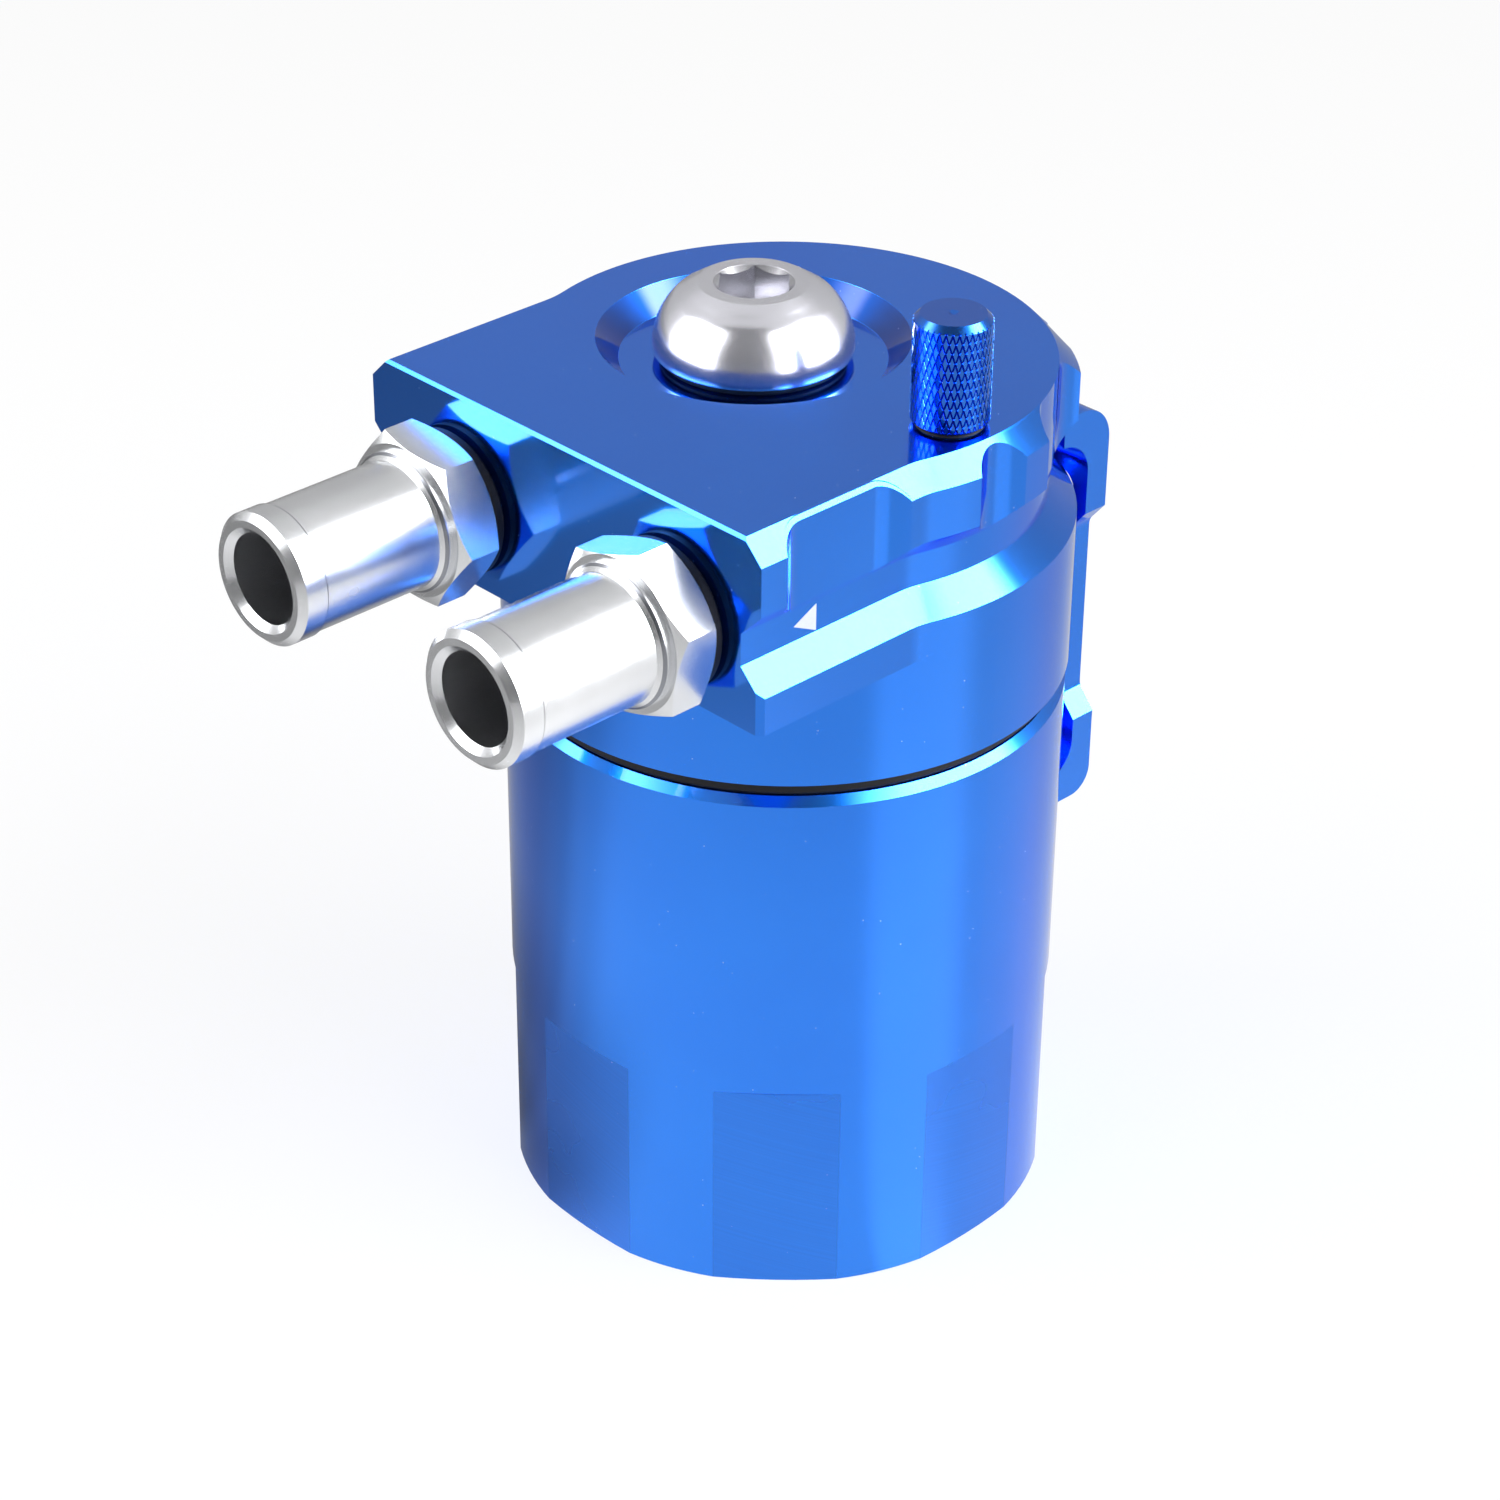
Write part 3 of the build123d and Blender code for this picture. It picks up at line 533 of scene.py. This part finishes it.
finished(knob, knob_material, "dipstick", 20)
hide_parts("dipstick_knob")
thread(
    "neck_thread", knob_centre, 0.0024, 0.00292, 0.001, 0.1118, 7.4,
    knob_material, "dipstick",
)

# The bracket is bent and milled from thick aluminium strip and anodised with the can. Its faces keep the
# lengthwise grain of the strip.
bracket_blue = Finish("bracket_blue")
point, x, y, z = bracket_blue.place()
clouds = bracket_blue.noise(point, 45.0, 3.0)
strip_grain = bracket_blue.bump(bracket_blue.lines(x + y * 0.1, 0.00030, 4.0), 0.0000020)
wear(nodes["bracket"], anodised(bracket_blue, point, clouds, strip_grain, 0.15 + clouds * 0.08))

# Screws and the dipstick's rod are plain steel. The rod is drawn and polished, and the oil darkens it a
# little between and below its two level marks.
steel = Finish("bright_steel")
point, x, y, z = steel.place()
cloud = steel.noise(point, 200.0, 3.0)
bright_steel = steel.surface(
    Base_Color=steel.tint(cloud, (0.46, 0.46, 0.47), (0.60, 0.60, 0.61)),
    Metallic=1.0,
    Roughness=0.24 + cloud * 0.12,
    Normal=steel.bump(steel.lines(z, 0.00016), 0.0000025),
)
wear(nodes["bracket_screws"], bright_steel)
wear(nodes["baffle_screws"], bright_steel)
rod_steel = Finish("rod_steel")
point, x, y, z = rod_steel.place()
cloud = rod_steel.noise(point, 260.0, 3.0)
oiled = (z < 0.0445) * 0.6 + (z < 0.0165) * 0.4
wear(
    nodes["dipstick_rod"],
    rod_steel.surface(
        Base_Color=rod_steel.tint(oiled * (0.6 + cloud * 0.6), (0.56, 0.56, 0.57), (0.30, 0.25, 0.19)),
        Metallic=1.0,
        Roughness=0.20 + cloud * 0.12,
        Normal=rod_steel.bump(rod_steel.lines(z, 0.0006), 0.0000015),
    ),
)

# Inside the lid, the pipe, the stays and the two drilled plates are plain aluminium as it comes from the
# stock: drawn tube and bar, and sheet with a rolled grain.
plain = Finish("plain_aluminium")
point, x, y, z = plain.place()
cloud = plain.noise(point, 70.0, 4.0)
rolled = plain.lines(x, 0.00035, 4.0)
plain_aluminium = plain.surface(
    Base_Color=plain.tint(cloud, (0.58, 0.58, 0.59), (0.72, 0.72, 0.73)),
    Metallic=1.0,
    Roughness=0.28 + cloud * 0.14,
    Normal=plain.bump(rolled, 0.0000030),
)
for name in ("inlet_pipe", "baffle_plate", "pad_retainer", "baffle_stays"):
    wear(nodes[name], plain_aluminium)

# Between the plates lies a pad of knitted stainless wire, which catches the oil mist.
knit = Finish("knitted_wire")
point, x, y, z = knit.place()
loop_size = {"Vector": point, "Scale": 900.0}
loops = knit.node("ShaderNodeTexVoronoi", {"feature": "DISTANCE_TO_EDGE"}, loop_size)
cloud = knit.noise(point, 500.0, 3.0)
# Between the wire loops the pad is painted near black, as shade in the gaps between the wires.
wire = loops < 0.09 + cloud * 0.1
wear(
    nodes["mesh_pad"],
    knit.surface(
        Base_Color=knit.tint(wire, (0.06, 0.06, 0.06), (0.62, 0.62, 0.62)),
        Metallic=wire * 0.9,
        Roughness=0.30 + cloud * 0.2,
        Normal=knit.bump(wire, 0.0003),
    ),
)

# The part stands on a white paper floor. What the metal mirrors of it is painted by place: painted shade on
# the left, where the paper lies in the can's own shade, and a painted highlight on the right, in front of
# the softbox.
bpy.ops.object.select_all(action="DESELECT")
bpy.ops.mesh.primitive_plane_add(size=8, location=(0, 0, -0.00006))
bpy.ops.object.transform_apply()
floor = bpy.context.object
floor.name = floor.data.name = "floor"
paper = Finish("white_paper")
point, x, y, z = paper.place()
camera_ray = paper.node("ShaderNodeLightPath", {}, {}, "Is Camera Ray")
glossy_ray = paper.node("ShaderNodeLightPath", {}, {}, "Is Glossy Ray")
lit = paper.node("ShaderNodeBsdfDiffuse", {}, {"Color": (0.82, 0.82, 0.82)})
white = paper.node("ShaderNodeEmission", {}, {"Color": (1, 1, 1), "Strength": 1.13})
turn = x.maths("ARCTAN2", y, x) / math.radians(1)
far = x.reach(y)
left_side = paper.ramp(turn, (-180, 0.42), (-150, 0.40), (-136, 0.50), (-122, 0.78), (-106, 1.04), (-24, 1.0))
right_side = paper.ramp(turn, (-24, 0), (50, -0.02), (90, -0.20), (150, -0.50), (180, -0.58))
near_share = paper.ramp(far, (0.09, 1.0), (0.20, 0.82), (0.45, 0.66))
can_shade = paper.ramp(far, (0.040, 0.66), (0.060, 0.40), (0.105, 0)) * paper.ramp(turn, (-112, 1), (-78, 0))
far_shade = paper.ramp(far, (0.12, 0), (0.20, 0.30)) * paper.ramp(turn, (-116, 1), (-92, 0))
# A painted highlight: a bright band on the paper, which the cup mirrors as an upright streak.
highlight_turn = x.maths("ARCTAN2", y + 0.0126, x - 0.024) / math.radians(1)
painted_highlight = paper.ramp(highlight_turn, (-16, 0), (-3, 0.36)) * paper.ramp(highlight_turn, (26, 1), (42, 0))
strength = near_share * ((left_side + right_side) * (1 - can_shade) * (1 - far_shade) + painted_highlight)
brightness = paper.tint(strength / 2, (0, 0, 0), (2, 2, 2))
mirrored = paper.node("ShaderNodeEmission", {}, {"Color": brightness, "Strength": 1.0})
seen = paper.node("ShaderNodeMixShader", {}, {0: 0.35, 1: white, 2: lit})
direct = paper.node("ShaderNodeMixShader", {}, {0: camera_ray, 1: lit, 2: seen})
whole = paper.node("ShaderNodeMixShader", {}, {0: glossy_ray, 1: direct, 2: mirrored})
paper.node("ShaderNodeOutputMaterial", {}, {"Surface": whole})
paper.material.cycles.emission_sampling = "NONE"
wear(floor, paper.material)

# Round the floor is the room, which is plain grey to matt surfaces. Metal mirrors the room as it is: dim
# behind the camera, paler above and behind the part, with a large softbox on the right and one on the left.
scene.world = bpy.data.worlds.new("studio")
scene.world.cycles.sampling_method = "NONE"
studio = Finish("studio", scene.world)
x, y, z = studio.split(studio.node("ShaderNodeTexCoord", {}, {}, "Generated"))
glossy_ray = studio.node("ShaderNodeLightPath", {}, {}, "Is Glossy Ray")
height = z.maths("ARCSINE", z) / math.radians(1)


def soft_box(heading, half_width, low, high, edge=5):
    """The part of the sky that a rectangular softbox takes up, in degrees: 1 inside it, 0 outside."""
    cosine, sine = math.cos(math.radians(heading)), math.sin(math.radians(heading))
    along, across = x * cosine + y * sine, y * cosine - x * sine
    aside = abs(across.maths("ARCTAN2", across, along) / math.radians(1))
    return (
        studio.ramp(aside, (half_width - edge, 1), (half_width + edge, 0))
        * studio.ramp(height, (low - edge, 0), (low + edge, 1))
        * studio.ramp(height, (high - edge, 1), (high + edge, 0))
    )


ahead = x * 0.450 - y * 0.685 + z * 0.574
room = studio.ramp(ahead, (-0.45, 0.54), (0.09, 0.78), (0.55, 0.76), (0.86, 0.22))
reflected = room + soft_box(25, 36, -4, 52) * 13 + soft_box(-120, 30, -2, 49) * 5.5
plain = studio.node("ShaderNodeBackground", {}, {"Color": (0.50, 0.50, 0.50), "Strength": 1.0})
mirror = studio.node("ShaderNodeBackground", {}, {"Color": (1, 1, 1), "Strength": reflected})
sky = studio.node("ShaderNodeMixShader", {}, {0: glossy_ray, 1: plain, 2: mirror})
studio.node("ShaderNodeOutputWorld", {}, {"Surface": sky})


# Two large soft lamps at equal height light the part, one on the camera's right and one on its left. The
# softboxes above stand for them in reflections.
def soft_lamp(name, heading, power):
    """A rectangular soft lamp, turned to face the part."""
    aim = Vector((0, 0, 0.09))
    light = bpy.data.lights.new(name, "AREA")
    light.shape = "RECTANGLE"
    light.size, light.size_y = 0.80, 0.55
    light.energy = power
    lamp = bpy.data.objects.new(name, light)
    scene.collection.objects.link(lamp)
    heading = math.radians(heading)
    lamp.location = aim + Vector((math.cos(heading), math.sin(heading), 0.85)).normalized() * 0.9
    lamp.rotation_euler = (aim - lamp.location).to_track_quat("-Z", "Y").to_euler()
    lamp.visible_glossy = False


soft_lamp("right_lamp", 18, 4.6)
soft_lamp("left_lamp", -111, 3.6)

# The camera stands where the photograph was taken from, on the outlet's side and above the lid.
camera_place = Vector((0.3208, -0.3179, 0.3343))
looking = Vector((-0.6142, 0.5965, -0.5167)).normalized()
tilt = math.radians(0.545)
level = looking.cross(Vector((0, 0, 1))).normalized()
right = level * math.cos(tilt) + level.cross(looking) * math.sin(tilt)
above = right.cross(looking)
camera_data = bpy.data.cameras.new("camera")
camera_data.sensor_width = 36
focal_pixels, picture_pixels = 3881.75, 1500
camera_data.lens = focal_pixels / picture_pixels * camera_data.sensor_width
camera_data.clip_start, camera_data.clip_end = 0.01, 20
camera = bpy.data.objects.new("camera", camera_data)
scene.collection.objects.link(camera)
camera_turn = Matrix((right, above, -looking)).transposed().to_4x4()
camera.matrix_world = Matrix.Translation(camera_place) @ camera_turn
scene.camera = camera
scene.view_settings.view_transform = "Standard"
